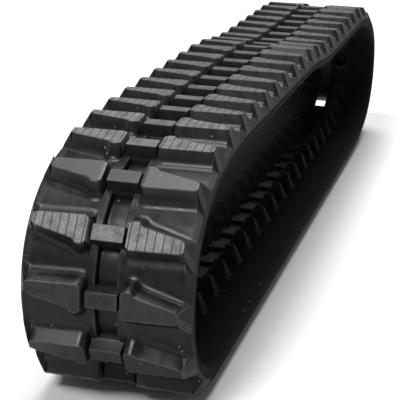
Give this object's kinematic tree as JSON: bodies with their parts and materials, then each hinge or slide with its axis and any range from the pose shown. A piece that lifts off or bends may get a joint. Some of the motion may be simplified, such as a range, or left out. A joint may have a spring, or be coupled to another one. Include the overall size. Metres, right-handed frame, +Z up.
{
  "type": "endless rubber track",
  "caption": "Endless rubber crawler track standing on its bottom run: slanted tread lugs outside, paired guide horns and sprocket windows inside.",
  "frame": {"origin": "on the floor under the middle of the loop", "axes": "X runs along the track with the front end at -X, Y to its left, Z up"},
  "size_m": [2.2919, 0.32, 0.4871],
  "materials": {
    "carcass_rubber": "matte black moulded rubber",
    "tread_rubber": "matte black rubber, ground and dusty on the faces that meet the road",
    "guide_rubber": "matte black moulded rubber, rubbed a little on the crests",
    "core_steel": "forged steel, bonded into the rubber",
    "cord_steel": "brass-coated steel cord"
  },
  "bodies": {
    "bottom_run": {"carcass_left_bottom_run": "carcass_rubber", "carcass_right_bottom_run": "carcass_rubber", "bridges_bottom_run": "tread_rubber", "lugs_left_bottom_run": "tread_rubber", "lugs_right_bottom_run": "tread_rubber", "horns_left_bottom_run": "guide_rubber", "horns_right_bottom_run": "guide_rubber", "cores_bottom_run": "core_steel", "cords_bottom_run": "cord_steel", "webs_bottom_run": "carcass_rubber"},
    "rear_lower": {"carcass_left_rear_lower": "carcass_rubber", "carcass_right_rear_lower": "carcass_rubber", "bridges_rear_lower": "tread_rubber", "lugs_left_rear_lower": "tread_rubber", "lugs_right_rear_lower": "tread_rubber", "horns_left_rear_lower": "guide_rubber", "horns_right_rear_lower": "guide_rubber", "cores_rear_lower": "core_steel", "cords_rear_lower": "cord_steel", "webs_rear_lower": "carcass_rubber"},
    "rear_upper": {"carcass_left_rear_upper": "carcass_rubber", "carcass_right_rear_upper": "carcass_rubber", "bridges_rear_upper": "tread_rubber", "lugs_left_rear_upper": "tread_rubber", "lugs_right_rear_upper": "tread_rubber", "horns_left_rear_upper": "guide_rubber", "horns_right_rear_upper": "guide_rubber", "cores_rear_upper": "core_steel", "cords_rear_upper": "cord_steel", "webs_rear_upper": "carcass_rubber"},
    "top_run": {"carcass_left_top_run": "carcass_rubber", "carcass_right_top_run": "carcass_rubber", "bridges_top_run": "tread_rubber", "lugs_left_top_run": "tread_rubber", "lugs_right_top_run": "tread_rubber", "horns_left_top_run": "guide_rubber", "horns_right_top_run": "guide_rubber", "cores_top_run": "core_steel", "cords_top_run": "cord_steel", "webs_top_run": "carcass_rubber"},
    "front_upper": {"carcass_left_front_upper": "carcass_rubber", "carcass_right_front_upper": "carcass_rubber", "bridges_front_upper": "tread_rubber", "lugs_left_front_upper": "tread_rubber", "lugs_right_front_upper": "tread_rubber", "horns_left_front_upper": "guide_rubber", "horns_right_front_upper": "guide_rubber", "cores_front_upper": "core_steel", "cords_front_upper": "cord_steel", "webs_front_upper": "carcass_rubber"},
    "front_lower": {"carcass_left_front_lower": "carcass_rubber", "carcass_right_front_lower": "carcass_rubber", "bridges_front_lower": "tread_rubber", "lugs_left_front_lower": "tread_rubber", "lugs_right_front_lower": "tread_rubber", "horns_left_front_lower": "guide_rubber", "horns_right_front_lower": "guide_rubber", "cores_front_lower": "core_steel", "cords_front_lower": "cord_steel", "webs_front_lower": "carcass_rubber"}
  },
  "joints": [
    {"name": "front_low_flex", "type": "hinge", "parent": "bottom_run", "child": "front_lower", "pos_m": [-0.96585, 0, 0.04975], "axis": [0, 1, 0], "range_deg": [-1.5, 5], "stiffness_Nm_per_rad": 4000, "springref_deg": 4.15},
    {"name": "front_mid_flex", "type": "hinge", "parent": "front_lower", "child": "front_upper", "pos_m": [-1.09268, 0, 0.2877], "axis": [0, 1, 0], "range_deg": [-9.07, 2.76]},
    {"name": "front_high_flex", "type": "hinge", "parent": "front_upper", "child": "top_run", "pos_m": [-0.85149, 0, 0.43666], "axis": [0, 1, 0], "range_deg": [-1.05, 3.4]},
    {"name": "rear_high_flex", "type": "hinge", "parent": "top_run", "child": "rear_upper", "pos_m": [0.84714, 0, 0.41199], "axis": [0, 1, 0], "range_deg": [-1.67, 5.46]},
    {"name": "rear_mid_flex", "type": "hinge", "parent": "rear_upper", "child": "rear_lower", "pos_m": [1.09233, 0, 0.16741], "axis": [0, 1, 0], "range_deg": [-9.21, 2.8]}
  ],
  "couplings": [
    {"joint": "front_mid_flex", "follows": "front_low_flex", "ratio": -1.8048},
    {"joint": "front_high_flex", "follows": "front_low_flex", "ratio": 0.6699},
    {"joint": "rear_high_flex", "follows": "front_low_flex", "ratio": 1.0819},
    {"joint": "rear_mid_flex", "follows": "front_low_flex", "ratio": -1.8328}
  ]
}
